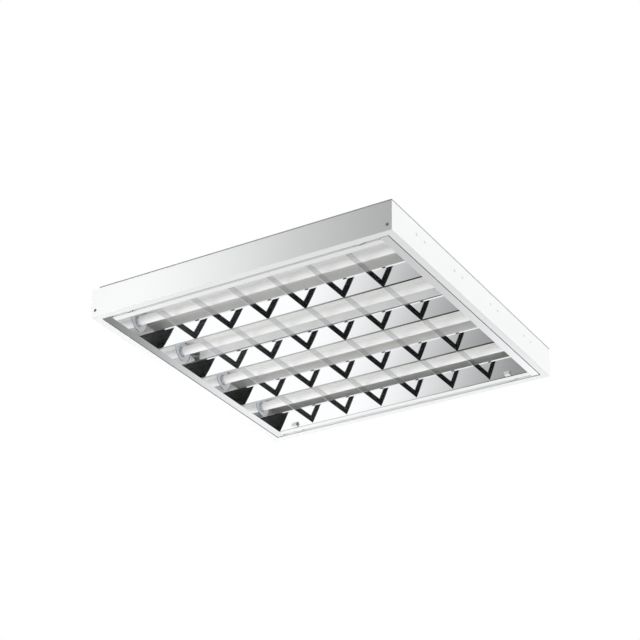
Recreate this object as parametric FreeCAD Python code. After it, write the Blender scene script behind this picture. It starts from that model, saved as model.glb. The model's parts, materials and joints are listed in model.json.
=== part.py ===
import FreeCAD, Part
import math
import os

# Four-lamp louvre light, millimetres.
# Origin: centre of the rim's underside. X runs along the lamps, +Z is up into the ceiling.

# ---------------------------------------------------------------- driving sizes
# Lamps: 16 mm tubes, 549 mm between their end faces, two-pin caps
LAMPS = 4
TUBE_LENGTH = 549.0
TUBE_R = 8.0
GLASS_WALL = 0.8
CAP_LENGTH = 11.0
CAP_WALL = 0.2
CAP_FLOOR = 2.0
PIN_R = 1.18
PIN_SPACING = 4.75
PIN_LENGTH = 7.1

# Lampholders, fixed to the end walls
HOLDER_DEPTH = 22.7
HOLDER_GAP = 0.5
HOLDER_HALF_WIDTH = 11.0
HOLDER_BELOW = 11.0
HOLDER_ABOVE = 13.0
COLLAR_R = 12.5
COLLAR_LENGTH = 3.0
ROTOR_R = 7.0
ROTOR_DEPTH = 8.0
ROTOR_CLEARANCE = 0.3
PIN_CLEARANCE = 0.05
SLOT_WIDTH = 3.2
EAR_HALF_WIDTH = 19.0
EAR_HEIGHT = 10.0
EAR_THICKNESS = 2.0
EAR_RISE = 3.8
RIVET_SPACING = 28.0
RIVET_R = 1.6
RIVET_HEAD_R = 2.3
RIVET_HEAD = 0.4

# Housing: folded sheet steel, square in plan
SHEET = 0.8
RIM_WIDTH = 13.4
TOP_FLANGE = 12.0
TRAY_SHEET = 0.7
BACK_SHEET = 0.8
BACK_HEM = 1.6
BACK_NOTCH = 14.0
ROOF_SCREW_R = 1.5
ROOF_SCREW_HEAD_R = 3.0
ROOF_SCREW_SINK = 0.7
ROOF_SCREW_TIP = 2.0
ROOF_SCREW_OFFSET = 150.0
ROOF_SCREW_INSET = 7.5
FIXING_X = 400.0
FIXING_Y = 500.0
FIXING_HOLE_R = 3.0
BRACKET_LEG = 14.0
BRACKET_SHEET = 1.0
BRACKET_HEIGHT = 38.0
BRACKET_FOOT = 2.0
SIDE_SCREW_INSET = 8.4
SIDE_SCREW_Z = 11.5
SIDE_SCREW_R = 1.4
SIDE_SCREW_HEAD_R = 2.6
SIDE_SCREW_HEAD = 0.6
SIDE_SCREW_TIP = 2.0
RECESS_SPAN = 3.0
RECESS_WIDTH = 0.7
RECESS_DEPTH = 0.5

# Control gear under a channel cover on the centre line
GEAR_WIDTH = 30.0
GEAR_LENGTH = 360.0
GEAR_HEIGHT = 19.6
TERMINAL_LENGTH = 12.0
TERMINAL_DROP = 3.0
COVER_WIDTH = 46.0
COVER_LENGTH = 524.0
COVER_SHEET = 0.7
COVER_GAP = 1.5
BLOCK_LENGTH = 30.0
BLOCK_WIDTH = 16.0
BLOCK_HEIGHT = 14.0
BLOCK_GAP = 13.0
BLOCK_WAYS = 3
BLOCK_SCREW_R = 1.6
BLOCK_SCREW_DEPTH = 3.0
EARTH_GAP = 35.0
EARTH_R = 3.5
EARTH_HEAD = 2.4
EARTH_SHAFT_R = 2.0
ENTRY_GAP = 13.0
ENTRY_BORE_R = 5.0
ENTRY_BUSH_R = 7.0
ENTRY_FLANGE_R = 9.0
ENTRY_FLANGE = 1.5
LOOM_R = 2.0
LOOM_OFFSET = 12.0
LOOM_BEND_R = 20.0
LOOM_REST = 0.3
LOOM_WALL_GAP = 9.7
LEAD_R = 0.9
LEAD_PITCH = 4.0

# Louvre: mirror reflectors and cross blades in a light frame
CELLS = 7
LOUVRE_GAP = 1.0
LOUVRE_LIFT = 1.0
END_STRIP = 16.35
SIDE_BAND = 18.6
ROW_PITCH = 134.7
APEX_RISE = 2.5
REFLECTOR_SHEET = 0.5
REFLECTOR_HEIGHT = 27.2
REFLECTOR_HALF_WIDTH = 16.0
REFLECTOR_SAGITTA = 0.1
REFLECTOR_LIP = 4.0
REFLECTOR_FOOT = 4.0
APEX_FILL = 2.4
BLADE_HEIGHT = 14.5
BLADE_SHEET = 0.4
BLADE_FOOT = 0.8
BLADE_TOP = 6.0
LAMP_CLEARANCE = 3.5
NOTCH_R = 24.0
NOTCH_RISE = 4.0
FRAME_UPSTAND = 8.0
GROOVE = 5.8
FLANGE_STEP = 4.0

# Hinge on the near long edge, latches on the far one, both in the end cells
HINGE_INSET = 2.1
HINGE_RISE = 2.6
HINGE_PIN_R = 1.2
HINGE_CLEARANCE = 0.05
HINGE_EAR_R = 2.6
HINGE_EAR_WIDTH = 6.0
HINGE_SIDE_GAP = 1.0
HINGE_LUG = 1.0
HINGE_LUG_DEPTH = 4.6
HINGE_PIN_END = 0.4
HINGE_BASE_WIDTH = 20.0
HINGE_BASE_HEIGHT = 1.2
HINGE_BASE_GAP = 1.4
HINGE_TOP_GAP = 0.6
HINGE_ARM_GAP = 0.4
LATCH_WIDTH = 10.0
LATCH_SIDE_GAP = 0.6
LATCH_THICKNESS = 2.4
LATCH_LIFT = 0.3
LATCH_TRAVEL = 8.0
LATCH_TIP_GAP = 0.3
LATCH_TAB = 3.0
LATCH_TAB_HEIGHT = 6.4
LATCH_TAB_INSET = 9.5
LATCH_TAB_GAP = 0.5
GUIDE_WIDTH = 16.0
GUIDE_LENGTH = 7.0
GUIDE_ROOF = 1.2
GUIDE_GAP = 0.3
KEEPER_WIDTH = 20.0
KEEPER_GAP = 0.3

# ---------------------------------------------------------------- derived places
tube_half = TUBE_LENGTH / 2
holder_front = tube_half + HOLDER_GAP
wall_inner = holder_front + HOLDER_DEPTH
half_side = wall_inner + SHEET
rim_inner = half_side - RIM_WIDTH
louvre_half = rim_inner - LOUVRE_GAP
cell_half_x = louvre_half - END_STRIP
cell_half_y = louvre_half - SIDE_BAND
cell_pitch = 2 * cell_half_x / CELLS
blade_x = [-cell_half_x + cell_pitch * k for k in range(1, CELLS)]
apex_y = [ROW_PITCH * (k - LAMPS / 2) for k in range(1, LAMPS)]
lamp_y = [ROW_PITCH * (k - (LAMPS - 1) / 2) for k in range(LAMPS)]
catch_x = [-cell_half_x + cell_pitch / 2, cell_half_x - cell_pitch / 2]

flange_top = LOUVRE_LIFT + SHEET
apex_z = LOUVRE_LIFT + APEX_RISE
blade_top = apex_z + BLADE_HEIGHT
reflector_top = apex_z + REFLECTOR_HEIGHT
louvre_top = reflector_top + REFLECTOR_SHEET
lamp_z = blade_top + LAMP_CLEARANCE + TUBE_R
cover_z = louvre_top + COVER_GAP
tray_z = cover_z + COVER_SHEET + GEAR_HEIGHT
wall_top = tray_z + TRAY_SHEET + SHEET
skin_z = wall_top + BACK_HEM
total_z = skin_z + BACK_SHEET
upstand_z = LOUVRE_LIFT + FRAME_UPSTAND
end_plate_outer = cell_half_x + REFLECTOR_SHEET
rail_inner = louvre_half - SHEET
flange_outer = rail_inner - GROOVE
step_z = LOUVRE_LIFT + FLANGE_STEP
side_width = REFLECTOR_HALF_WIDTH * (reflector_top - flange_top) / REFLECTOR_HEIGHT
hinge_y = -(louvre_half - HINGE_INSET)
hinge_z = LOUVRE_LIFT + HINGE_RISE
hinge_window_half = HINGE_EAR_WIDTH / 2 + HINGE_SIDE_GAP
latch_z = flange_top + LATCH_LIFT
latch_slot_half = LATCH_WIDTH / 2 + LATCH_SIDE_GAP
gear_half = GEAR_LENGTH / 2 + TERMINAL_LENGTH
block_x = gear_half + BLOCK_GAP
entry_x = block_x + BLOCK_LENGTH + ENTRY_GAP


# ---------------------------------------------------------------- shape helpers
RIGHT_ANGLE = 90.0


def vec(x, y, z):
    return FreeCAD.Vector(x, y, z)


def box(x0, x1, y0, y1, z0, z1):
    return Part.makeBox(x1 - x0, y1 - y0, z1 - z0, vec(x0, y0, z0))


def rod_x(radius, x0, x1, y, z):
    return Part.makeCylinder(radius, x1 - x0, vec(x0, y, z), vec(1, 0, 0))


def rod_y(radius, y0, y1, x, z):
    return Part.makeCylinder(radius, y1 - y0, vec(x, y0, z), vec(0, 1, 0))


def rod_z(radius, z0, z1, x, y):
    return Part.makeCylinder(radius, z1 - z0, vec(x, y, z0), vec(0, 0, 1))


def cut(shape, tools):
    for tool in tools:
        shape = shape.cut(tool)
    return shape


def fuse(shapes):
    result = shapes[0]
    for shape in shapes[1:]:
        result = result.fuse(shape)
    return result.removeSplitter()


def turned(shape, degrees):
    """The shape turned about the vertical axis through the origin."""
    copy = shape.copy()
    copy.rotate(vec(0, 0, 0), vec(0, 0, 1), degrees)
    return copy


def mirrored_y(shape):
    return shape.mirror(vec(0, 0, 0), vec(0, 1, 0))


def mirrored_x(shape):
    return shape.mirror(vec(0, 0, 0), vec(1, 0, 0))


def profile(steps, x0, x1):
    """A closed outline in the YZ plane, swept from x0 to x1.

    A step is a point (y, z), reached by a straight line, or a pair of points,
    the middle and the end of an arc."""
    start = steps[0]
    here = vec(x0, start[0], start[1])
    first = here
    edges = []
    for step in steps[1:]:
        if isinstance(step[0], tuple):
            middle, end = step
            target = vec(x0, end[0], end[1])
            edges.append(Part.Arc(here, vec(x0, middle[0], middle[1]), target).toShape())
        else:
            target = vec(x0, step[0], step[1])
            edges.append(Part.LineSegment(here, target).toShape())
        here = target
    edges.append(Part.LineSegment(here, first).toShape())
    return Part.Face(Part.Wire(edges)).extrude(vec(x1 - x0, 0, 0))


def bulge(start, end, sagitta):
    """The middle point of an arc that stands off its chord to the right by sagitta."""
    dy = end[0] - start[0]
    dz = end[1] - start[1]
    length = math.hypot(dy, dz)
    return ((start[0] + end[0]) / 2 + sagitta * dz / length,
            (start[1] + end[1]) / 2 - sagitta * dy / length)


def tube_path(points, bend_radius, radius):
    """A round cable through points, with every corner rounded."""
    edges = []
    here = points[0]
    for corner, after in zip(points[1:-1], points[2:]):
        into = (corner - here).normalize()
        out = (after - corner).normalize()
        arc_start = corner - into * bend_radius
        arc_end = corner + out * bend_radius
        centre = corner - into * bend_radius + out * bend_radius
        arc_middle = centre + (corner - centre).normalize() * bend_radius
        edges.append(Part.LineSegment(here, arc_start).toShape())
        edges.append(Part.Arc(arc_start, arc_middle, arc_end).toShape())
        here = arc_end
    edges.append(Part.LineSegment(here, points[-1]).toShape())
    path = Part.Wire(edges)
    circle = Part.Circle(points[0], points[1] - points[0], radius).toShape()
    return path.makePipeShell([Part.Wire([circle])], True, False)


def save(name, solids):
    shape = solids if isinstance(solids, Part.Shape) else Part.makeCompound(solids)
    shape.exportStep(os.path.join("parts", name + ".step"))


# ---------------------------------------------------------------- housing
def side_screws():
    screws = []
    span = RECESS_SPAN / 2
    width = RECESS_WIDTH / 2
    for side in (-1, 1):
        for end in (-1, 1):
            x = end * (half_side - SIDE_SCREW_INSET)
            tip = wall_inner - BRACKET_SHEET - SIDE_SCREW_TIP
            shaft = rod_y(SIDE_SCREW_R, tip, half_side, x, SIDE_SCREW_Z)
            top = half_side + SIDE_SCREW_HEAD
            head = rod_y(SIDE_SCREW_HEAD_R, half_side, top, x, SIDE_SCREW_Z)
            slot = box(x - span, x + span, top - RECESS_DEPTH, top, SIDE_SCREW_Z - width, SIDE_SCREW_Z + width)
            cross = box(x - width, x + width, top - RECESS_DEPTH, top, SIDE_SCREW_Z - span, SIDE_SCREW_Z + span)
            screw = cut(fuse([shaft, head]), [slot, cross])
            screws.append(screw if side == 1 else mirrored_y(screw))
    return screws


def lampholder_rivets():
    rivets = []
    z = lamp_z + EAR_RISE
    for end in (-1, 1):
        for y_lamp in lamp_y:
            for offset in (-RIVET_SPACING / 2, RIVET_SPACING / 2):
                shaft = rod_x(RIVET_R, wall_inner - EAR_THICKNESS, half_side, y_lamp + offset, z)
                head = rod_x(RIVET_HEAD_R, half_side, half_side + RIVET_HEAD, y_lamp + offset, z)
                rivet = fuse([shaft, head])
                rivets.append(rivet if end == 1 else mirrored_x(rivet))
    return rivets


def roof_screw_places():
    reach = half_side - ROOF_SCREW_INSET
    places = []
    for a in (-ROOF_SCREW_OFFSET, ROOF_SCREW_OFFSET):
        for b in (-reach, reach):
            places.append((a, b))
            places.append((b, a))
    return places


def roof_screw_holes():
    """The places of the countersunk screws, each as a shaft and cone without a recess."""
    screws = []
    for x, y in roof_screw_places():
        shaft = rod_z(ROOF_SCREW_R, tray_z - ROOF_SCREW_TIP, total_z, x, y)
        cone = Part.makeCone(ROOF_SCREW_R, ROOF_SCREW_HEAD_R, ROOF_SCREW_SINK,
                             vec(x, y, total_z - ROOF_SCREW_SINK), vec(0, 0, 1))
        screws.append(fuse([shaft, cone]))
    return screws


def roof_screws():
    """Countersunk screws that hold the back plate and the tray to the walls' top flange."""
    screws = []
    bottom = total_z - RECESS_DEPTH
    span = RECESS_SPAN / 2
    width = RECESS_WIDTH / 2
    for (x, y), screw in zip(roof_screw_places(), roof_screw_holes()):
        slot = box(x - span, x + span, y - width, y + width, bottom, total_z)
        cross = box(x - width, x + width, y - span, y + span, bottom, total_z)
        screws.append(cut(screw, [slot, cross]))
    return screws


def fixing_holes():
    holes = []
    for x in (-FIXING_X / 2, FIXING_X / 2):
        for y in (-FIXING_Y / 2, FIXING_Y / 2):
            holes.append(rod_z(FIXING_HOLE_R, tray_z, total_z, x, y))
    return holes


def housing_frame():
    """Four walls, each with an inward rim below and an inward flange above."""
    outer = box(-half_side, half_side, -half_side, half_side, 0, wall_top)
    hollow = box(-wall_inner, wall_inner, -wall_inner, wall_inner, SHEET, wall_top - SHEET)
    mouth = box(-rim_inner, rim_inner, -rim_inner, rim_inner, 0, SHEET)
    reach = half_side - TOP_FLANGE
    roof = box(-reach, reach, -reach, reach, wall_top - SHEET, wall_top)
    return cut(outer, [hollow, mouth, roof] + side_screws() + lampholder_rivets() + roof_screw_holes())


def housing_wall(frame, quarter_turns):
    """One wall of the frame, mitred at 45 degrees: 0 is the +X end, and each turn is to the left."""
    reach = half_side + RIM_WIDTH
    corners = [vec(0, 0, 0), vec(reach, -reach, 0), vec(reach, reach, 0), vec(0, 0, 0)]
    sector = Part.Face(Part.makePolygon(corners)).extrude(vec(0, 0, wall_top))
    return frame.common(turned(sector, RIGHT_ANGLE * quarter_turns))


def back_plate():
    """A flat lid with a short turned-down hem, notched at the corners of one end."""
    outer = box(-half_side, half_side, -half_side, half_side, wall_top, total_z)
    hollow = box(-wall_inner, wall_inner, -wall_inner, wall_inner, wall_top, skin_z)
    notch = box(-half_side, BACK_NOTCH - half_side, half_side - BACK_NOTCH, half_side, wall_top, total_z)
    notches = [notch, mirrored_y(notch)]
    bosses = [rod_z(ROOF_SCREW_HEAD_R + BACK_SHEET, wall_top, skin_z, x, y) for x, y in roof_screw_places()]
    lid = fuse([outer.cut(hollow)] + bosses)
    entry = rod_z(ENTRY_BUSH_R, wall_top, total_z, entry_x, 0)
    return cut(lid, notches + fixing_holes() + roof_screw_holes() + [entry])


def reflector_tray():
    sheet = box(-wall_inner, wall_inner, -wall_inner, wall_inner, tray_z, tray_z + TRAY_SHEET)
    entry = rod_z(ENTRY_BUSH_R, tray_z, tray_z + TRAY_SHEET, entry_x, 0)
    return cut(sheet, fixing_holes() + roof_screw_holes() + [entry] + earth_screw())


def corner_brackets():
    low = SHEET + BRACKET_FOOT
    corner = wall_inner
    leg_x = box(corner - BRACKET_LEG, corner, corner - BRACKET_SHEET, corner, low, low + BRACKET_HEIGHT)
    leg_y = box(corner - BRACKET_SHEET, corner, corner - BRACKET_LEG, corner, low, low + BRACKET_HEIGHT)
    bracket = fuse([leg_x, leg_y])
    brackets = [bracket, mirrored_x(bracket), mirrored_y(bracket), mirrored_x(mirrored_y(bracket))]
    return [cut(piece, side_screws()) for piece in brackets]


# ---------------------------------------------------------------- control gear and wiring
def gear_cover():
    half = COVER_WIDTH / 2
    inner = half - COVER_SHEET
    length = COVER_LENGTH / 2
    outer = box(-length, length, -half, half, cover_z, tray_z)
    return outer.cut(box(-length, length, -inner, inner, cover_z + COVER_SHEET, tray_z))


def ballast_case():
    return box(-GEAR_LENGTH / 2, GEAR_LENGTH / 2, -GEAR_WIDTH / 2, GEAR_WIDTH / 2,
               tray_z - GEAR_HEIGHT, tray_z)


def ballast_terminals():
    half = GEAR_WIDTH / 2
    block = box(GEAR_LENGTH / 2, gear_half, -half, half, tray_z - GEAR_HEIGHT + TERMINAL_DROP, tray_z)
    return [block, mirrored_x(block)]


def terminal_block():
    half = BLOCK_WIDTH / 2
    bottom = tray_z - BLOCK_HEIGHT
    block = box(block_x, block_x + BLOCK_LENGTH, -half, half, bottom, tray_z)
    wells = []
    for way in range(BLOCK_WAYS):
        x = block_x + BLOCK_LENGTH * (way + 0.5) / BLOCK_WAYS
        wells.append(rod_z(BLOCK_SCREW_R, bottom, bottom + BLOCK_SCREW_DEPTH, x, 0))
    return cut(block, wells)


def earth_screw():
    x = -(gear_half + EARTH_GAP)
    head = rod_z(EARTH_R, tray_z - EARTH_HEAD, tray_z, x, 0)
    shaft = rod_z(EARTH_SHAFT_R, tray_z - EARTH_HEAD, tray_z + TRAY_SHEET, x, 0)
    return [fuse([head, shaft])]


def cable_grommet():
    bush = rod_z(ENTRY_BUSH_R, tray_z - ENTRY_FLANGE, total_z, entry_x, 0)
    flange = rod_z(ENTRY_FLANGE_R, tray_z - ENTRY_FLANGE, tray_z, entry_x, 0)
    bore = rod_z(ENTRY_BORE_R, tray_z - ENTRY_FLANGE, total_z, entry_x, 0)
    return fuse([bush, flange]).cut(bore)


def wiring(end):
    """Two looms from one end of the control gear, along the end wall above the lampholders."""
    z = lamp_z + HOLDER_ABOVE + LOOM_REST + LOOM_R
    far_x = wall_inner - LOOM_WALL_GAP - LOOM_R
    looms = []
    for side in (-1, 1):
        points = [vec(end * gear_half, side * LOOM_OFFSET, z),
                  vec(end * far_x, side * LOOM_OFFSET, z),
                  vec(end * far_x, side * lamp_y[-1], z)]
        looms.append(tube_path(points, LOOM_BEND_R, LOOM_R))
    return looms


def mains_leads():
    z = tray_z - BLOCK_HEIGHT / 2
    return [rod_x(LEAD_R, gear_half, block_x, LEAD_PITCH * k, z) for k in (-1, 0, 1)]


# ---------------------------------------------------------------- lampholders and lamps
def lampholder(y):
    """A lampholder on the +X end wall: round collar, body, fixing ears, rotor bore and lamp slot."""
    collar_end = holder_front + COLLAR_LENGTH
    collar = rod_x(COLLAR_R, holder_front, collar_end, y, lamp_z)
    body = box(collar_end, wall_inner, y - HOLDER_HALF_WIDTH, y + HOLDER_HALF_WIDTH,
               lamp_z, lamp_z + HOLDER_ABOVE)
    chin = rod_x(HOLDER_BELOW, collar_end, wall_inner, y, lamp_z)
    ear_z = lamp_z + EAR_RISE
    ears = box(wall_inner - EAR_THICKNESS, wall_inner, y - EAR_HALF_WIDTH, y + EAR_HALF_WIDTH,
               ear_z - EAR_HEIGHT / 2, ear_z + EAR_HEIGHT / 2)
    bore_end = holder_front + ROTOR_DEPTH + ROTOR_CLEARANCE
    bore = rod_x(ROTOR_R + ROTOR_CLEARANCE, holder_front, bore_end, y, lamp_z)
    slot = box(holder_front, bore_end, y - SLOT_WIDTH / 2, y + SLOT_WIDTH / 2, lamp_z - COLLAR_R, lamp_z)
    return cut(fuse([collar, body, chin, ears]), [bore, slot] + lampholder_rivets())


def lamp_glass(y):
    half = tube_half - CAP_FLOOR
    tube = rod_x(TUBE_R, -half, half, y, lamp_z)
    return tube.cut(rod_x(TUBE_R - GLASS_WALL, -half, half, y, lamp_z))


def pin_pair(radius, x0, y):
    """Two rods on a lamp's pin centres, from x0 to the pins' tips."""
    offsets = (-PIN_SPACING / 2, PIN_SPACING / 2)
    return [rod_x(radius, x0, tube_half + PIN_LENGTH, y + offset, lamp_z) for offset in offsets]


def lamp_caps(y):
    cap = rod_x(TUBE_R + CAP_WALL, tube_half - CAP_LENGTH, tube_half, y, lamp_z)
    cap = cap.cut(rod_x(TUBE_R, tube_half - CAP_LENGTH, tube_half - CAP_FLOOR, y, lamp_z))
    cap = fuse([cap] + pin_pair(PIN_R, tube_half - CAP_FLOOR / 2, y))
    return [cap, mirrored_x(cap)]


def lamp_rotors(y):
    rotor = rod_x(ROTOR_R, holder_front, holder_front + ROTOR_DEPTH, y, lamp_z)
    rotor = cut(rotor, pin_pair(PIN_R + PIN_CLEARANCE, holder_front, y))
    return [rotor, mirrored_x(rotor)]


# ---------------------------------------------------------------- louvre
def blade_outline(x, sink=0.0):
    """The V of a cross blade, closed above, as wide as its foot below."""
    foot = BLADE_FOOT / 2
    top = BLADE_TOP / 2
    corners = [(x - foot, apex_z), (x + foot, apex_z), (x + top, blade_top), (x - top, blade_top)]
    if sink:
        slope = (top - foot) / BLADE_HEIGHT
        inner_top = top - sink
        inner_foot = inner_top - slope * (BLADE_HEIGHT - sink)
        corners = [(x - inner_foot, apex_z + sink), (x + inner_foot, apex_z + sink),
                   (x + inner_top, blade_top), (x - inner_top, blade_top)]
    wire = Part.makePolygon([vec(a, -cell_half_y, b) for a, b in corners + corners[:1]])
    return Part.Face(wire).extrude(vec(0, 2 * cell_half_y, 0))


def side_curve():
    """The far side reflector's mirror curve: its foot, its middle and its head."""
    foot = (cell_half_y, flange_top)
    head = (cell_half_y - side_width, reflector_top)
    return foot, bulge(foot, head, REFLECTOR_SAGITTA), head


def beyond_side():
    """Everything outward of the far side reflector's mirror curve."""
    foot, middle, head = side_curve()
    return profile([foot, (middle, head), (head[0], louvre_top), (louvre_half, louvre_top),
                    (louvre_half, flange_top)], -louvre_half, louvre_half)


def double_reflector(y):
    """A hollow wedge over one row boundary: two mirror walls that meet in an edge below."""
    wide = REFLECTOR_HALF_WIDTH
    lip = wide + REFLECTOR_LIP
    inside = wide - REFLECTOR_SHEET
    apex = (y, apex_z)
    inner_apex = (y, apex_z + APEX_FILL)
    left = (y - wide, reflector_top)
    right = (y + wide, reflector_top)
    inner_left = (y - inside, louvre_top)
    inner_right = (y + inside, louvre_top)
    steps = [(y - lip, reflector_top), left,
             (bulge(left, apex, -REFLECTOR_SAGITTA), apex),
             (bulge(apex, right, -REFLECTOR_SAGITTA), right),
             (y + lip, reflector_top), (y + lip, louvre_top), inner_right,
             (bulge(inner_right, inner_apex, REFLECTOR_SAGITTA), inner_apex),
             (bulge(inner_apex, inner_left, REFLECTOR_SAGITTA), inner_left),
             (y - lip, louvre_top)]
    wedge = profile(steps, -cell_half_x, cell_half_x)
    return cut(wedge, [blade_outline(x) for x in blade_x])


def side_reflector():
    """The far side reflector: mirror wall, top lip, and the foot that stands on the rail's flange."""
    foot, middle, head = side_curve()
    thick = REFLECTOR_SHEET
    inner_head = (head[0] + thick, louvre_top)
    inner_foot = (foot[0] + thick, flange_top + thick)
    heel = foot[0] + REFLECTOR_FOOT
    steps = [foot, (middle, head), (head[0] - REFLECTOR_LIP, reflector_top),
             (head[0] - REFLECTOR_LIP, louvre_top), inner_head,
             (bulge(inner_head, inner_foot, -REFLECTOR_SAGITTA), inner_foot),
             (heel, flange_top + thick), (heel, flange_top)]
    return profile(steps, -cell_half_x, cell_half_x)


def side_reflector_far():
    """The far side reflector has a window in each end cell for the latch."""
    half = latch_slot_half
    top = latch_z + LATCH_TAB_HEIGHT + LATCH_TAB_GAP
    inner = cell_half_y - side_width
    outer = cell_half_y + REFLECTOR_FOOT
    windows = [box(x - half, x + half, inner, outer, flange_top, top) for x in catch_x]
    return cut(side_reflector(), windows)


def cross_blade(x):
    blade = blade_outline(x).cut(blade_outline(x, BLADE_SHEET))
    outside = beyond_side()
    return cut(blade, [outside, mirrored_y(outside)])


def louvre_end():
    """The +X end: a mirror end plate notched round the lamps, and the flat strip outside it."""
    plate = box(cell_half_x, end_plate_outer, -cell_half_y, cell_half_y, LOUVRE_LIFT, louvre_top)
    wings = box(cell_half_x, end_plate_outer, -rail_inner, rail_inner, LOUVRE_LIFT, upstand_z)
    strip = box(end_plate_outer, louvre_half, -louvre_half, louvre_half, LOUVRE_LIFT, LOUVRE_LIFT + SHEET)
    upstand = box(rail_inner, louvre_half, -louvre_half, louvre_half, LOUVRE_LIFT, upstand_z)
    notches = []
    for y in lamp_y:
        centre_z = lamp_z + NOTCH_RISE
        notches.append(rod_x(NOTCH_R, cell_half_x, end_plate_outer, y, centre_z))
    return cut(fuse([plate, wings, strip, upstand]), notches)


def side_rail():
    """The far side's white rail: inner flange, groove and outer upstand."""
    steps = [(cell_half_y, LOUVRE_LIFT), (flange_outer, LOUVRE_LIFT), (flange_outer, step_z),
             (rail_inner, step_z), (rail_inner, LOUVRE_LIFT), (louvre_half, LOUVRE_LIFT),
             (louvre_half, upstand_z), (rail_inner, upstand_z), (rail_inner, step_z + SHEET),
             (flange_outer - SHEET, step_z + SHEET), (flange_outer - SHEET, flange_top),
             (cell_half_y, flange_top)]
    return profile(steps, -cell_half_x, cell_half_x)


def side_rail_far():
    """The far rail has a passage for each latch through the groove's two sides."""
    half = latch_slot_half
    inner = flange_outer - SHEET
    passages = [box(x - half, x + half, inner, louvre_half, flange_top, step_z) for x in catch_x]
    return cut(side_rail(), passages)


def side_rail_near():
    """The near rail has a window at each hinge, with a lug on both sides that holds the pin."""
    half = hinge_window_half
    lug_top = hinge_z + HINGE_EAR_R
    lug_y = HINGE_LUG_DEPTH - louvre_half
    window_y = hinge_y + HINGE_EAR_R + HINGE_TOP_GAP
    lugs = []
    windows = []
    for x in catch_x:
        for side in (-1, 1):
            centre = x + side * (half + HINGE_LUG / 2)
            lugs.append(box(centre - HINGE_LUG / 2, centre + HINGE_LUG / 2, -louvre_half, lug_y,
                            LOUVRE_LIFT, lug_top))
        windows.append(box(x - half, x + half, -louvre_half, window_y, LOUVRE_LIFT, lug_top + HINGE_TOP_GAP))
    return cut(fuse([cut(mirrored_y(side_rail()), windows)] + lugs), hinge_pins())


def hinge_pins():
    reach = hinge_window_half + HINGE_LUG + HINGE_PIN_END
    return [rod_x(HINGE_PIN_R, x - reach, x + reach, hinge_y, hinge_z) for x in catch_x]


def hinge_brackets():
    """Ears on the rim of the housing that carry the louvre's two hinge pins."""
    brackets = []
    half = HINGE_EAR_WIDTH / 2
    base_half = HINGE_BASE_WIDTH / 2
    for x in catch_x:
        ear = rod_x(HINGE_EAR_R, x - half, x + half, hinge_y, hinge_z)
        arm = box(x - half, x + half, -wall_inner, hinge_y, SHEET + HINGE_ARM_GAP, hinge_z)
        base = box(x - base_half, x + base_half, -wall_inner, -rim_inner - HINGE_BASE_GAP,
                   SHEET, SHEET + HINGE_BASE_HEIGHT)
        bore = rod_x(HINGE_PIN_R + HINGE_CLEARANCE, x - half, x + half, hinge_y, hinge_z)
        brackets.append(fuse([ear, arm, base]).cut(bore))
    return brackets


def latch(x):
    """A sliding bolt with a thumb tab inside the end cell, shown drawn back."""
    half = LATCH_WIDTH / 2
    tip = rail_inner - LATCH_TIP_GAP
    tab_y = cell_half_y - LATCH_TAB_INSET
    bolt = box(x - half, x + half, tab_y, tip, latch_z, latch_z + LATCH_THICKNESS)
    tab = box(x - half, x + half, tab_y, tab_y + LATCH_TAB, latch_z, latch_z + LATCH_TAB_HEIGHT)
    return fuse([bolt, tab])


def latch_guides():
    """Bridges that hold the bolts down on the side reflector's flange."""
    guides = []
    y1 = flange_outer - SHEET
    y0 = y1 - GUIDE_LENGTH
    channel = LATCH_WIDTH / 2 + GUIDE_GAP
    roof = latch_z + LATCH_THICKNESS + GUIDE_GAP
    for x in catch_x:
        bridge = box(x - GUIDE_WIDTH / 2, x + GUIDE_WIDTH / 2, y0, y1, flange_top, roof + GUIDE_ROOF)
        guides.append(bridge.cut(box(x - channel, x + channel, y0, y1, flange_top, roof)))
    return guides


def latch_keepers():
    """Pads on the rim that the bolts slide over when the louvre is locked."""
    half = KEEPER_WIDTH / 2
    top = latch_z - KEEPER_GAP
    return [box(x - half, x + half, rim_inner + LOUVRE_GAP, wall_inner, SHEET, top) for x in catch_x]


# ---------------------------------------------------------------- write the sub-parts
os.makedirs("parts", exist_ok=True)

frame = housing_frame()
save("end_wall_right", housing_wall(frame, 0))
save("side_wall_far", housing_wall(frame, 1))
save("end_wall_left", housing_wall(frame, 2))
save("side_wall_near", housing_wall(frame, 3))
save("back_plate", back_plate())
save("reflector_tray", reflector_tray())
save("corner_brackets", corner_brackets())
save("side_screws", side_screws())
save("roof_screws", roof_screws())
save("lampholder_rivets", lampholder_rivets())
save("hinge_brackets", hinge_brackets())
save("latch_keepers", latch_keepers())
save("gear_cover", gear_cover())
save("ballast_case", ballast_case())
save("ballast_terminals", ballast_terminals())
save("terminal_block", terminal_block())
save("earth_screw", earth_screw())
save("cable_grommet", cable_grommet())
save("left_wiring", wiring(-1))
save("right_wiring", wiring(1) + mains_leads())

for number, y in enumerate(lamp_y, start=1):
    holder = lampholder(y)
    save("lampholder_right_%d" % number, holder)
    save("lampholder_left_%d" % number, mirrored_x(holder))
    save("lamp_%d_glass" % number, lamp_glass(y))
    save("lamp_%d_caps" % number, lamp_caps(y))
    save("lamp_%d_rotors" % number, lamp_rotors(y))

for number, y in enumerate(apex_y, start=1):
    save("reflector_%d" % number, double_reflector(y))
for number, x in enumerate(blade_x, start=1):
    save("cross_blade_%d" % number, cross_blade(x))
save("side_reflector_far", side_reflector_far())
save("side_reflector_near", mirrored_y(side_reflector()))
save("louvre_end_right", louvre_end())
save("louvre_end_left", mirrored_x(louvre_end()))
save("side_rail_far", side_rail_far())
save("side_rail_near", side_rail_near())
save("hinge_pins", hinge_pins())
save("latch_guides", latch_guides())
save("latch_left", latch(catch_x[0]))
save("latch_right", latch(catch_x[1]))
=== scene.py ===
import json
import math

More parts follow.
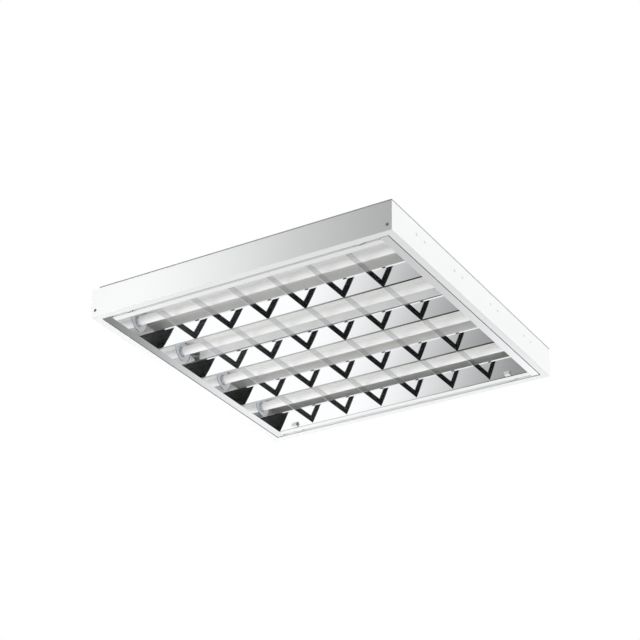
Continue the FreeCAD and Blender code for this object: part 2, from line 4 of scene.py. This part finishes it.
import bmesh
import bpy
from mathutils import Matrix, Vector


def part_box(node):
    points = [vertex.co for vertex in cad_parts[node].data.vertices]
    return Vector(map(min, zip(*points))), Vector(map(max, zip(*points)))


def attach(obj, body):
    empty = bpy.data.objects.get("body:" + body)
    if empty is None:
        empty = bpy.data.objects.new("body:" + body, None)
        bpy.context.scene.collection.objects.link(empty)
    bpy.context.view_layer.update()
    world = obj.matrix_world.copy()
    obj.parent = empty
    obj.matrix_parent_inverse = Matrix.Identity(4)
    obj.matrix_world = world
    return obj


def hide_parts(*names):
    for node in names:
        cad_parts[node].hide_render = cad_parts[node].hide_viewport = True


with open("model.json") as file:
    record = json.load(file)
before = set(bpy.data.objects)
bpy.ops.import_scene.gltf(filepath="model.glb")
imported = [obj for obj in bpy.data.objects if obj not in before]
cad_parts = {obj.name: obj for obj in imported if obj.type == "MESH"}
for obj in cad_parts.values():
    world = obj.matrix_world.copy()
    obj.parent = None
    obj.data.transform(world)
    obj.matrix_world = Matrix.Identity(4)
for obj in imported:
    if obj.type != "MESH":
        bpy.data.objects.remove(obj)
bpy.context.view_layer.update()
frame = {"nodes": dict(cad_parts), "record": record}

NODES = frame["nodes"]

# ---------------------------------------------------------------- camera
CAMERA_AT = Vector((1.4613, -2.3943, -1.4515))
CAMERA_FORWARD = Vector((-0.4625, 0.7497, 0.4733)).normalized()
CAMERA_RIGHT = Vector((0.8555, 0.5175, 0.0163))
LENS = 99.64
SENSOR = 36.0
FAR_CLIP = 50.0


def make_camera():
    data = bpy.data.cameras.new("camera")
    data.sensor_width = SENSOR
    data.lens = LENS
    data.clip_end = FAR_CLIP
    camera = bpy.data.objects.new("camera", data)
    bpy.context.scene.collection.objects.link(camera)
    up = CAMERA_RIGHT.cross(CAMERA_FORWARD).normalized()
    right = CAMERA_FORWARD.cross(up)
    turn = Matrix((right, up, -CAMERA_FORWARD)).transposed()
    camera.matrix_world = Matrix.Translation(CAMERA_AT) @ turn.to_4x4()
    bpy.context.scene.camera = camera


# ---------------------------------------------------------------- material helpers
MIX_FACTOR = 0
MIX_COLOURS = (6, 7)
MIX_RESULT = 2


class Tree:
    """A small writer of shader nodes."""

    def __init__(self, tree):
        self.tree = tree
        tree.nodes.clear()

    def add(self, kind, inputs=None, **settings):
        node = self.tree.nodes.new(kind)
        for key, value in settings.items():
            setattr(node, key, value)
        for key, value in (inputs or {}).items():
            if isinstance(value, bpy.types.NodeSocket):
                self.tree.links.new(value, node.inputs[key])
            else:
                node.inputs[key].default_value = value
        return node

    def math(self, operation, a, b=0.0, c=None):
        inputs = {0: a, 1: b}
        if c is not None:
            inputs[2] = c
        return self.add("ShaderNodeMath", inputs, operation=operation).outputs[0]

    def noise(self, scale, detail, vector):
        inputs = {"Scale": scale, "Detail": detail, "Vector": vector}
        return self.add("ShaderNodeTexNoise", inputs).outputs["Fac"]

    def remap(self, value, low, high, to_low, to_high):
        return self.add("ShaderNodeMapRange", {"Value": value, "From Min": low, "From Max": high,
                                                "To Min": to_low, "To Max": to_high}).outputs[0]

    def share(self, value, start, end):
        """How far value has gone from start to end, as 0 to 1."""
        return self.remap(value, start, end, 0.0, 1.0)

    def tint(self, factor, dark, light):
        inputs = {MIX_FACTOR: factor}
        for socket, value in zip(MIX_COLOURS, (dark, light)):
            inputs[socket] = value + (1.0,) if isinstance(value, tuple) else value
        return self.add("ShaderNodeMix", inputs, data_type="RGBA").outputs[MIX_RESULT]

    def place(self, scale=(1.0, 1.0, 1.0)):
        where = self.add("ShaderNodeTexCoord").outputs["Object"]
        return self.add("ShaderNodeMapping", {"Vector": where, "Scale": scale}).outputs[0]

    def x_of(self, vector):
        return self.add("ShaderNodeSeparateXYZ", {0: vector}).outputs[0]

    def bump(self, height, distance):
        return self.add("ShaderNodeBump", {"Height": height, "Distance": distance}).outputs[0]

    def principled(self, colour, roughness, normal, **extra):
        inputs = {"Base Color": colour, "Roughness": roughness, "Normal": normal}
        inputs.update(extra)
        self.output(self.add("ShaderNodeBsdfPrincipled", inputs).outputs[0])

    def output(self, shader, kind="ShaderNodeOutputMaterial"):
        self.add(kind, {"Surface": shader})


def material(name):
    made = bpy.data.materials.new(name)
    made.use_nodes = True
    return made, Tree(made.node_tree)


# ---------------------------------------------------------------- materials
# Noise stays mostly within this range.
NOISE_RANGE = (0.3, 0.7)

# Each pair is a noise's scale, in waves per metre, and its detail.
BLOTCHES = (6.0, 4.0)
WEAR = (40.0, 3.0)
CLOUDS = (5.0, 3.0)
STREAKS = (1.0, 3.0)
STAINS = (4.0, 4.0)
ZINC_GRAIN = (600.0, 2.0)
SCREW_WEAR = (300.0, 3.0)
GRAIN_DETAIL = 2.0

# Painted shade in crevices: how far it looks for nearby surfaces, its samples, where it fades in, and its
# colour.
PAINTED_SHADE_REACH = 0.004
PAINTED_SHADE_SAMPLES = 8
PAINTED_SHADE_OPEN = (0.1, 0.75)
PAINTED_SHADE_COLOUR = (0.12, 0.12, 0.12)
PAINT_ROUGH = (0.3, 0.4)
PAINT_GRAIN = 900.0
PAINT_DEPTH = 0.00004
ROLLED = (4.0, 400.0, 400.0)
STREAK_DEPTH = 0.00002

FLAKE_SCALE = 120.0
FLAKE_SHARE = 0.5
STAIN_SHARE = 0.6
ZINC_METALLIC = 0.6

SCREW_GRAIN = (300.0, 300.0, 300.0)
# Screws farther out along X than this, on the end walls, are painted pale as painted light.
LIT_SCREW_X = 0.2982
LIT_SCREW_COLOUR = (0.75, 0.75, 0.76)
# The rolled edges get a painted reflection along X: bright at the first place, dark from the second.
EDGE_SHEEN_X = -0.02
EDGE_DARK_X = 0.2


def coated(name, dark, light, rough=PAINT_ROUGH, grain=PAINT_GRAIN, depth=PAINT_DEPTH, **extra):
    """Paint or plastic: a slightly uneven colour with painted shade in crevices, over a fine grain."""
    made, t = material(name)
    where = t.place()
    colour = t.tint(t.noise(*BLOTCHES, where), dark, light)
    # Painted shade: the colour darkens where other surfaces are close, in crevices and gaps.
    near = t.add("ShaderNodeAmbientOcclusion", {"Distance": PAINTED_SHADE_REACH}, samples=PAINTED_SHADE_SAMPLES).outputs["AO"]
    colour = t.tint(t.share(near, *PAINTED_SHADE_OPEN), PAINTED_SHADE_COLOUR, colour)
    roughness = t.remap(t.noise(*WEAR, where), *NOISE_RANGE, *rough)
    t.principled(colour, roughness, t.bump(t.noise(grain, GRAIN_DETAIL, where), depth), **extra)
    return made


def streaked(t, colour, rough, stretch, depth=STREAK_DEPTH, metallic=1.0):
    """A metal surface with fine streaks, long in the direction of the smallest stretch."""
    streaks = t.noise(*STREAKS, t.place(stretch))
    roughness = t.remap(streaks, *NOISE_RANGE, *rough)
    t.principled(colour, roughness, t.bump(streaks, depth), Metallic=metallic)


def metal(name, dark, light, rough, stretch, depth, metallic=1.0):
    """Sheet metal with fine streaks along its rolling direction."""
    made, t = material(name)
    colour = t.tint(t.noise(*CLOUDS, t.place()), dark, light)
    streaked(t, colour, rough, stretch, depth, metallic)
    return made


def spangled(name, dark, light, rough):
    """Galvanised sheet: angular zinc flakes of slightly different greys."""
    made, t = material(name)
    where = t.place()
    cells = t.add("ShaderNodeTexVoronoi", {"Vector": where, "Scale": FLAKE_SCALE}, feature="F1")
    shade = t.add("ShaderNodeSeparateColor", {0: cells.outputs["Color"]}).outputs[0]
    stain = t.math("MULTIPLY", t.noise(*STAINS, where), STAIN_SHARE)
    colour = t.tint(t.math("MULTIPLY_ADD", shade, FLAKE_SHARE, stain), dark, light)
    grain = t.bump(t.noise(*ZINC_GRAIN, where), STREAK_DEPTH)
    t.principled(colour, t.remap(shade, 0.0, 1.0, *rough), grain, Metallic=ZINC_METALLIC)
    return made


def screws(name, dark, light, rough):
    """Blackened screws; those on the end walls are painted pale, as painted light."""
    made, t = material(name)
    where = t.place()
    side = t.math("ABSOLUTE", t.x_of(where))
    wear_and_sheen = t.tint(t.noise(*SCREW_WEAR, where), dark, light)
    # Painted light: the screws on the end walls take a pale colour.
    colour = t.tint(t.math("GREATER_THAN", side, LIT_SCREW_X), wear_and_sheen, LIT_SCREW_COLOUR)
    streaked(t, colour, rough, SCREW_GRAIN)
    return made


def edging(name, wear_and_sheen, dark, rough):
    """A rolled sheet edge with a painted reflection: bright at its left end and dark at its right end."""
    made, t = material(name)
    colour = t.tint(t.share(t.x_of(t.place()), EDGE_SHEEN_X, EDGE_DARK_X), wear_and_sheen, dark)
    streaked(t, colour, rough, ROLLED)
    return made


# A faint painted glow on the unlit tubes, which evens out their shading.
TUBE_GLOW = {"Emission Color": (1.0, 1.0, 0.99, 1.0), "Emission Strength": 0.27}

MATERIALS = {
    "white_paint": coated("white_paint", (0.84, 0.85, 0.85), (0.88, 0.89, 0.89)),
    "galvanised_steel": spangled("galvanised_steel", (0.3, 0.305, 0.31), (0.4, 0.405, 0.41), (0.4, 0.55)),
    "screw_steel": screws("screw_steel", (0.16, 0.16, 0.17), (0.24, 0.24, 0.25), (0.35, 0.45)),
    "gear_case": coated("gear_case", (0.76, 0.76, 0.74), (0.82, 0.82, 0.8)),
    "terminal_plastic": coated("terminal_plastic", (0.7, 0.71, 0.71), (0.77, 0.78, 0.78), (0.45, 0.55)),
    "grommet_rubber": coated("grommet_rubber", (0.03, 0.03, 0.03), (0.06, 0.06, 0.06), (0.6, 0.7)),
    "wire_insulation": coated("wire_insulation", (0.76, 0.76, 0.74), (0.82, 0.82, 0.8), (0.4, 0.5)),
    "holder_plastic": coated("holder_plastic", (0.85, 0.85, 0.84), (0.89, 0.89, 0.88), (0.35, 0.45)),
    "lamp_tube": coated("lamp_tube", (0.61, 0.61, 0.61), (0.65, 0.65, 0.65), (0.35, 0.45), 200.0, 0.00001,
                        **TUBE_GLOW),
    "lamp_cap": metal("lamp_cap", (0.74, 0.77, 0.81), (0.82, 0.85, 0.88), (0.4, 0.5), (300.0, 20.0, 20.0),
                      STREAK_DEPTH, 0.3),
    "rotor_plastic": coated("rotor_plastic", (0.8, 0.8, 0.79), (0.86, 0.86, 0.85), (0.35, 0.45)),
    "mirror_aluminium": metal("mirror_aluminium", (0.86, 0.87, 0.88), (0.9, 0.91, 0.92), (0.04, 0.08),
                              (3.0, 500.0, 500.0), 0.000002),
    "satin_aluminium": metal("satin_aluminium", (0.76, 0.77, 0.78), (0.8, 0.81, 0.82), (0.09, 0.12),
                             (400.0, 3.0, 400.0), 0.000003),
    "latch_plastic": coated("latch_plastic", (0.74, 0.74, 0.73), (0.8, 0.8, 0.79), (0.4, 0.5)),
}
TRAY_PAINT = coated("tray_paint", (0.84, 0.84, 0.815), (0.88, 0.88, 0.855))
COLLAR_PLASTIC = coated("collar_plastic", (0.8, 0.84, 0.89), (0.85, 0.88, 0.92))
# Rolled edges: their colour is a painted reflection, bright at the left and dark at the right.
EDGE_METAL = edging("edge_metal", (0.55, 0.55, 0.56), (0.08, 0.08, 0.08), (0.3, 0.4))

for part in frame["record"]["subparts"]:
    for socket in NODES[part["node"]].material_slots:
        socket.material = MATERIALS[part["material_slot"]]
NODES["reflector_tray"].material_slots[0].material = TRAY_PAINT


# ---------------------------------------------------------------- pieces of the louvre and lampholders
BLADES = ["cross_blade_%d" % k for k in range(1, 7)]
WEDGES = ["reflector_%d" % k for k in range(1, 4)]
LAMPS = range(1, 5)
SIDES = (-1.0, 1.0)
SMOOTH_ANGLE = 20.0
ARC_STEPS = 16
SHEET = 0.0005

BLADE_TALL = 0.0125
BLADE_THICK = 0.0008

WEDGE_HALF = 0.016
WEDGE_LEAN = 0.588
WEDGE_SAG = 0.0001
WEDGE_FILL = 0.0025
APEX_R = 0.0006

FOOT_R = 0.0006

NOTCH_RISE = 0.004
NOTCH_R = 0.024
PLATE_X = 0.26795
TRIM_R = 0.0005
TRIM_STEPS = 20
TRIM_SIDES = 8

COLLAR_X = 0.2694
COLLAR_WALL = 0.0012
COLLAR_GAP = 0.0008
COLLAR_R = 0.025
COLLAR_TOP = 0.05
COLLAR_BEVEL = 0.0004
COLLAR_SLOPE = 0.0008
COLLAR_STEPS = 64

# A black bead along the end strip's edges stands for the shadow in the gap to the rim.
SHADOW_BEAD_LAP = 0.0013
SHADOW_BEAD_LOW = 0.0008
SHADOW_BEAD_WALL = 0.0002
SHADOW_BEAD_TALL = 0.0018
SHADOW_BEAD_BULGE = 0.0006
SHADOW_BEAD_STEPS = 8


def side_word(side):
    return "right" if side > 0 else "left"


def bowed(start, end, sag):
    """Points from start to end along a shallow arc that stands off to the right by sag."""
    dy = end[0] - start[0]
    dz = end[1] - start[1]
    length = math.hypot(dy, dz)
    points = []
    for k in range(ARC_STEPS + 1):
        share = k / ARC_STEPS
        off = sag * 4.0 * share * (1.0 - share) / length
        points.append((start[0] + dy * share + off * dz, start[1] + dz * share - off * dy))
    return points


def finished(name, corners, faces, paint, body, node=None):
    """A mesh piece with even normals, smooth over its curves, that rides a body."""
    mesh = bpy.data.meshes.new(name)
    mesh.from_pydata(corners, [], faces)
    work = bmesh.new()
    work.from_mesh(mesh)
    bmesh.ops.recalc_face_normals(work, faces=work.faces)
    work.to_mesh(mesh)
    work.free()
    mesh.shade_smooth()
    mesh.set_sharp_from_angle(angle=math.radians(SMOOTH_ANGLE))
    mesh.materials.append(paint)
    piece = bpy.data.objects.new(name, mesh)
    bpy.context.scene.collection.objects.link(piece)
    if node:
        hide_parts(node)
    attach(piece, body)
    return piece


def ends(first, last, count):
    """The two end faces of a tube of corners, whose end rings start at first and last."""
    return [tuple(range(first, first + count)), tuple(range(last + count - 1, last - 1, -1))]


def sweep(name, outline, start, end, slot, node=None, along_y=False, paint=None):
    """A closed outline swept along X, or along Y. It stands for a louvre node, where one is given."""
    count = len(outline)
    corners = [(b, place, z) if along_y else (place, b, z) for place in (start, end) for b, z in outline]
    faces = [(k, (k + 1) % count, count + (k + 1) % count, count + k) for k in range(count)]
    faces += ends(0, count, count)
    return finished(name, corners, faces, paint or MATERIALS[slot], "louvre", node)


def make_blade(node):
    """An upright mirror blade with sheared ends that follow the side reflectors."""
    low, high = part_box(node)
    middle = (low[0] + high[0]) / 2
    foot = low[2]
    top = foot + BLADE_TALL
    reach = high[1]
    head = reach - BLADE_TALL * WEDGE_LEAN
    outline = [(-reach, foot), (reach, foot), (head, top), (-head, top)]
    sweep("blade_" + node[-1], outline, middle - BLADE_THICK / 2, middle + BLADE_THICK / 2,
          "satin_aluminium", node)


def make_wedge(node):
    """Two mirror walls that meet in a rounded edge below, with a lip along each top edge."""
    low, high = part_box(node)
    y = (low[1] + high[1]) / 2
    lip = (high[1] - low[1]) / 2
    apex = low[2]
    top = high[2] - SHEET
    inside = WEDGE_HALF - SHEET
    lean = math.atan(WEDGE_LEAN)
    rise = APEX_R * math.sin(lean)
    run = APEX_R * math.cos(lean)
    middle = apex + APEX_R
    falling = bowed((y - WEDGE_HALF, top), (y - run, middle - rise), -WEDGE_SAG)
    rounded = []
    for k in range(1, ARC_STEPS):
        turn = (math.pi - 2 * lean) * k / ARC_STEPS + lean
        rounded.append((y - APEX_R * math.cos(turn), middle - APEX_R * math.sin(turn)))
    climbing = bowed((y + run, middle - rise), (y + WEDGE_HALF, top), -WEDGE_SAG)
    outline = [(y - lip, top)] + falling + rounded + climbing
    outline += [(y + lip, top), (y + lip, high[2]), (y + inside, high[2]), (y, apex + WEDGE_FILL),
                (y - inside, high[2]), (y - lip, high[2])]
    piece = sweep("mirror_wedge_" + node[-1], outline, low[0], high[0], "mirror_aluminium", node)
    # The rounded lower edge takes the edge metal, whose colour is a painted reflection.
    piece.data.materials.append(EDGE_METAL)
    first = len(falling) - 1
    for face in piece.data.polygons:
        if first <= face.index <= first + ARC_STEPS:
            face.material_index = 1


def lamp_middle(number):
    """The Y and Z of a lamp's axis, and the radius of its glass."""
    low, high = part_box("lamp_%d_glass" % number)
    return (low[1] + high[1]) / 2, (low[2] + high[2]) / 2, (high[2] - low[2]) / 2


def make_notch_shade_bead(number, side):
    """A black bead round the lamp notch of a louvre end plate: a dark piece that stands for the shade in the
    gap round the lamp end.
    """
    y, z, _ = lamp_middle(number)
    start = -math.pi + math.asin(NOTCH_RISE / NOTCH_R)
    corners = []
    for k in range(TRIM_STEPS + 1):
        turn = start + (-math.pi / 2 - start) * k / TRIM_STEPS
        for j in range(TRIM_SIDES):
            around = math.tau * j / TRIM_SIDES
            reach = NOTCH_R + TRIM_R * math.cos(around)
            corners.append((side * (PLATE_X + TRIM_R * math.sin(around)), y + reach * math.cos(turn),
                            z + NOTCH_RISE + reach * math.sin(turn)))
    faces = []
    for k in range(TRIM_STEPS):
        here = k * TRIM_SIDES
        there = here + TRIM_SIDES
        for j in range(TRIM_SIDES):
            i = (j + 1) % TRIM_SIDES
            faces.append((here + j, there + j, there + i, here + i))
    faces += ends(0, TRIM_STEPS * TRIM_SIDES, TRIM_SIDES)
    finished("notch_shade_bead_%d_%s" % (number, side_word(side)), corners, faces, MATERIALS["grommet_rubber"],
             "louvre")


def make_collar(number, side):
    """A pale plastic collar round the end of a tube, clipped on the front of its lampholder."""
    y, z, glass = lamp_middle(number)
    radius = glass + COLLAR_GAP
    profile = [(COLLAR_WALL, radius), (0.0, radius + COLLAR_BEVEL), (0.0, COLLAR_R - COLLAR_SLOPE),
               (COLLAR_BEVEL, COLLAR_R), (COLLAR_WALL, COLLAR_R)]
    count = len(profile)
    corners = []
    faces = []
    for k in range(COLLAR_STEPS):
        turn = math.tau * k / COLLAR_STEPS
        after = (k + 1) % COLLAR_STEPS
        for j, (depth, reach) in enumerate(profile):
            height = min(z + reach * math.sin(turn), COLLAR_TOP)
            corners.append((side * (COLLAR_X + depth), y + reach * math.cos(turn), height))
            i = (j + 1) % count
            faces.append((k * count + j, after * count + j, after * count + i, k * count + i))
    finished("lamp_%d_collar_%s" % (number, side_word(side)), corners, faces, COLLAR_PLASTIC,
             "housing")


def make_foot(name, node, side):
    """The rolled foot of a side reflector: a slim bead along its lower edge."""
    low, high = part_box(node)
    y = side * min(abs(low[1]), abs(high[1]))
    outline = []
    for k in range(ARC_STEPS):
        turn = math.tau * k / ARC_STEPS
        outline.append((y + side * FOOT_R * math.cos(turn), low[2] + FOOT_R + FOOT_R * math.sin(turn)))
    # The foot bead takes the edge metal, whose colour is a painted reflection.
    sweep(name, outline, low[0], high[0], "mirror_aluminium", paint=EDGE_METAL)


def make_gap_shadow_bead(name, edge, outward, start, end, along_y):
    """A thin black rubber bead with a rounded outer side on the edge of the end strip: a dark piece that
    stands for the shadow in the gap between the strip and the rim.
    """
    lap = edge - outward * SHADOW_BEAD_LAP
    outline = [(lap, SHADOW_BEAD_LOW), (lap, SHADOW_BEAD_LOW + SHADOW_BEAD_WALL)]
    for k in range(SHADOW_BEAD_STEPS + 1):
        turn = math.pi / 2 - math.pi * k / SHADOW_BEAD_STEPS
        outline.append((edge + outward * SHADOW_BEAD_BULGE * math.cos(turn),
                        SHADOW_BEAD_LOW + SHADOW_BEAD_TALL / 2 * (1.0 + math.sin(turn))))
    sweep(name, outline, start, end, "grommet_rubber", along_y=along_y)


for blade in BLADES:
    make_blade(blade)
for wedge in WEDGES:
    make_wedge(wedge)
for make in (make_notch_shade_bead, make_collar):
    for lamp_number in LAMPS:
        for lamp_side in SIDES:
            make(lamp_number, lamp_side)
make_foot("foot_bead_far", "side_rail_far", 1.0)
make_foot("foot_bead_near", "side_rail_near", -1.0)
END_LOW, END_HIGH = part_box("louvre_end_right")
make_gap_shadow_bead("gap_shadow_bead_side", END_HIGH[0], 1.0, END_LOW[1], END_HIGH[1], True)
make_gap_shadow_bead("gap_shadow_bead_near", END_LOW[1], -1.0, END_LOW[0], END_HIGH[0], False)


# ---------------------------------------------------------------- floor
FLOOR_Z = -2.7
FLOOR_HALF = 12.0
FLOOR_COLOUR = (0.8, 0.8, 0.8, 1.0)
FLOOR_GLOW = 0.35
WHITE = (1.0, 1.0, 1.0, 1.0)


def make_floor():
    made, t = material("floor")
    shadowed = t.add("ShaderNodeBsdfDiffuse", {"Color": FLOOR_COLOUR}).outputs[0]
    white = t.add("ShaderNodeEmission", {"Color": WHITE, "Strength": FLOOR_GLOW}).outputs[0]
    both = t.add("ShaderNodeAddShader", {0: shadowed, 1: white}).outputs[0]
    seen = t.add("ShaderNodeLightPath").outputs["Is Camera Ray"]
    t.output(t.add("ShaderNodeMixShader", {0: seen, 1: shadowed, 2: both}).outputs[0])
    mesh = bpy.data.meshes.new("floor")
    h = FLOOR_HALF
    mesh.from_pydata([(-h, -h, FLOOR_Z), (h, -h, FLOOR_Z), (h, h, FLOOR_Z), (-h, h, FLOOR_Z)], [],
                     [(0, 1, 2, 3)])
    floor = bpy.data.objects.new("floor", mesh)
    floor.data.materials.append(made)
    floor.visible_glossy = False
    floor.visible_diffuse = False
    floor.visible_shadow = False
    bpy.context.scene.collection.objects.link(floor)


# ---------------------------------------------------------------- studio round the light
# Brightness round the horizon by the angle from -Y towards -X, in degrees. MIRRORED is what metal shows.
# LIGHT_LEVEL and LIGHT_LOW light everything else, from level with it and from about 30 degrees below it.
MIRRORED = [(-180.0, 1.0), (-38.7, 1.0), (-37.7, 0.5), (-37.0, 0.005), (-18.0, 0.005), (5.0, 0.03),
            (20.0, 0.09), (23.0, 0.16), (25.0, 0.3), (27.0, 0.57), (29.0, 0.93), (31.0, 1.12), (100.0, 1.1),
            (134.0, 0.18), (139.0, 0.2), (141.0, 0.283), (142.3, 0.45), (143.5, 0.7), (144.6, 0.89),
            (145.7, 0.97), (146.7, 1.0), (148.0, 0.9), (149.5, 0.66), (152.2, 0.665), (153.2, 0.72),
            (154.1, 0.83), (155.0, 0.955), (155.9, 1.07), (180.0, 1.08)]
LIGHT_LEVEL = [(-180.0, 1.86), (-135.0, 2.85), (-90.0, 2.3), (-45.0, 0.0), (45.0, 0.0), (90.0, 0.11),
               (135.0, 0.93), (180.0, 1.86)]
LIGHT_LOW = [(-180.0, 0.68), (-135.0, 0.5), (-90.0, 0.75), (-45.0, 1.31), (0.0, 1.3), (45.0, 0.91),
             (90.0, 1.22), (135.0, 0.62), (180.0, 0.68)]
RAMP_TOP = 2.5
HALF_TURN = 180.0
DEGREES = 57.2958

# Each pair is a height over the horizon, in degrees, where a light is off and where it is fully on.
LEVEL_BAND = (-15.0, 20.0)
LOW_BAND = (-60.0, -30.0)
LOW_BAND_TOP = (0.0, -30.0)
BELOW_BAND = (-45.0, -70.0)
LIGHT_BELOW = 1.12

# What metal shows from far below and from above, with a dark sector about BESIDE_AT, in degrees.
DOWN_BAND = (-34.0, -38.0)
ABOVE_BAND = (0.0, 12.0)
MIRRORED_BELOW = 1.1
MIRRORED_ABOVE = 0.9
BESIDE_AT = -65.0
BESIDE_BAND = (35.0, 45.0)
BESIDE_LEVEL = 0.02

# The dark part of MIRRORED leans by EDGE_SLANT about the height EDGE_AT, on the side before EDGE_LIMIT.
EDGE_SLANT = 0.3
EDGE_AT = -23.8
EDGE_LIMIT = -30.0

# A ray with fewer diffuse bounces than this has had none.
HALF_BOUNCE = 0.5


def ramp(t, degrees, stops):
    """A level that follows stops of (angle, level) round the horizon."""
    node = t.add("ShaderNodeValToRGB", {"Fac": t.share(degrees, -HALF_TURN, HALF_TURN)})
    elements = node.color_ramp.elements
    elements.remove(elements[1])
    for k, (angle, level) in enumerate(stops):
        at = (angle + HALF_TURN) / (2 * HALF_TURN)
        stop = elements[0] if k == 0 else elements.new(at)
        stop.position = at
        stop.color = (level / RAMP_TOP,) * 3 + (1.0,)
    return t.math("MULTIPLY", node.outputs[0], RAMP_TOP)


def blend(t, level, other, share):
    """The level, or the other one where share is 1."""
    return t.math("MULTIPLY_ADD", t.math("SUBTRACT", other, level), share, level)


def lit_background(t, level):
    colour = t.add("ShaderNodeCombineColor", {0: level, 1: level, 2: level}).outputs[0]
    return t.add("ShaderNodeBackground", {"Color": colour}).outputs[0]


def light_level(t, angle, height):
    """What matt surfaces are lit by."""
    level = t.math("MULTIPLY", ramp(t, angle, LIGHT_LEVEL), t.share(height, *LEVEL_BAND))
    low = t.math("MINIMUM", t.share(height, *LOW_BAND), t.share(height, *LOW_BAND_TOP))
    level = t.math("MULTIPLY_ADD", ramp(t, angle, LIGHT_LOW), low, level)
    return t.math("ADD", level, t.remap(height, *BELOW_BAND, 0.0, LIGHT_BELOW))


def mirrored_level(t, angle, height):
    """What metal shows."""
    slant = t.math("MULTIPLY", t.math("SUBTRACT", height, EDGE_AT), EDGE_SLANT)
    slant = t.math("MULTIPLY", slant, t.math("LESS_THAN", angle, EDGE_LIMIT))
    shown = ramp(t, t.math("ADD", angle, slant), MIRRORED)
    beside = t.math("ABSOLUTE", t.math("SUBTRACT", angle, BESIDE_AT))
    below = t.remap(beside, *BESIDE_BAND, BESIDE_LEVEL, MIRRORED_BELOW)
    shown = blend(t, shown, below, t.share(height, *DOWN_BAND))
    return blend(t, shown, MIRRORED_ABOVE, t.share(height, *ABOVE_BAND))


def make_world():
    world = bpy.data.worlds.new("studio")
    world.use_nodes = True
    t = Tree(world.node_tree)
    ray = t.add("ShaderNodeTexCoord").outputs["Generated"]
    way = t.add("ShaderNodeSeparateXYZ", {0: ray})
    back = [t.math("MULTIPLY", way.outputs[k], -1.0) for k in (0, 1)]
    angle = t.math("MULTIPLY", t.math("ARCTAN2", *back), DEGREES)
    height = t.math("MULTIPLY", t.math("ARCSINE", way.outputs[2]), DEGREES)
    light = lit_background(t, light_level(t, angle, height))
    studio = lit_background(t, mirrored_level(t, angle, height))
    white = t.add("ShaderNodeBackground", {"Color": WHITE}).outputs[0]

    path = t.add("ShaderNodeLightPath")
    direct = t.math("LESS_THAN", path.outputs["Diffuse Depth"], HALF_BOUNCE)
    mirrored = t.math("MULTIPLY", path.outputs["Is Glossy Ray"], direct)
    first = t.add("ShaderNodeMixShader", {0: mirrored, 1: light, 2: studio}).outputs[0]
    seen = t.math("MAXIMUM", path.outputs["Is Camera Ray"], path.outputs["Is Transmission Ray"])
    t.output(t.add("ShaderNodeMixShader", {0: seen, 1: first, 2: white}).outputs[0], "ShaderNodeOutputWorld")
    bpy.context.scene.world = world


# ---------------------------------------------------------------- lamps of the studio
WIDE = 180.0

# Each has its name, place, target, size in metres, power in watts and spread in degrees.
AREA_LIGHTS = [
    ("wall_left", (-0.45, -0.7, 0.03), (-0.45, -0.3, 0.03), (0.2, 0.2), 0.23, 120.0),
    ("wall_middle", (-0.15, -1.2, 0.03), (-0.15, -0.3, 0.03), (0.25, 0.25), 0.52, 60.0),
    ("below_left", (-0.45, 0.0, -0.35), (-0.15, 0.0, 0.0), (0.2, 0.6), 0.72, WIDE),
    ("below_near", (-0.5, -0.5, -0.5), (-0.15, -0.15, 0.0), (0.3, 0.3), 0.66, WIDE),
    ("below_far", (-0.3, 0.45, -0.4), (-0.1, 0.15, 0.0), (0.3, 0.3), 0.56, WIDE),
    ("below_corner", (0.3, 0.5, -0.3), (0.18, 0.27, 0.0), (0.2, 0.2), 0.09, 90.0),
]


def area_light(name, at, towards, size, power, spread):
    data = bpy.data.lights.new(name, "AREA")
    data.spread = math.radians(spread)
    data.shape = "RECTANGLE"
    data.size, data.size_y = size
    data.energy = power
    lamp = bpy.data.objects.new(name, data)
    lamp.location = at
    lamp.rotation_mode = "QUATERNION"
    lamp.rotation_quaternion = (Vector(towards) - Vector(at)).to_track_quat("-Z", "Y")
    lamp.visible_glossy = False
    lamp.visible_camera = False
    bpy.context.scene.collection.objects.link(lamp)


MAX_BOUNCES = 24
DIFFUSE_BOUNCES = 8
GLOSSY_BOUNCES = 16

make_camera()
make_floor()
make_world()
for row in AREA_LIGHTS:
    area_light(*row)

cycles = bpy.context.scene.cycles
cycles.max_bounces = MAX_BOUNCES
cycles.diffuse_bounces = DIFFUSE_BOUNCES
cycles.glossy_bounces = GLOSSY_BOUNCES

bpy.context.scene.view_settings.view_transform = "Standard"
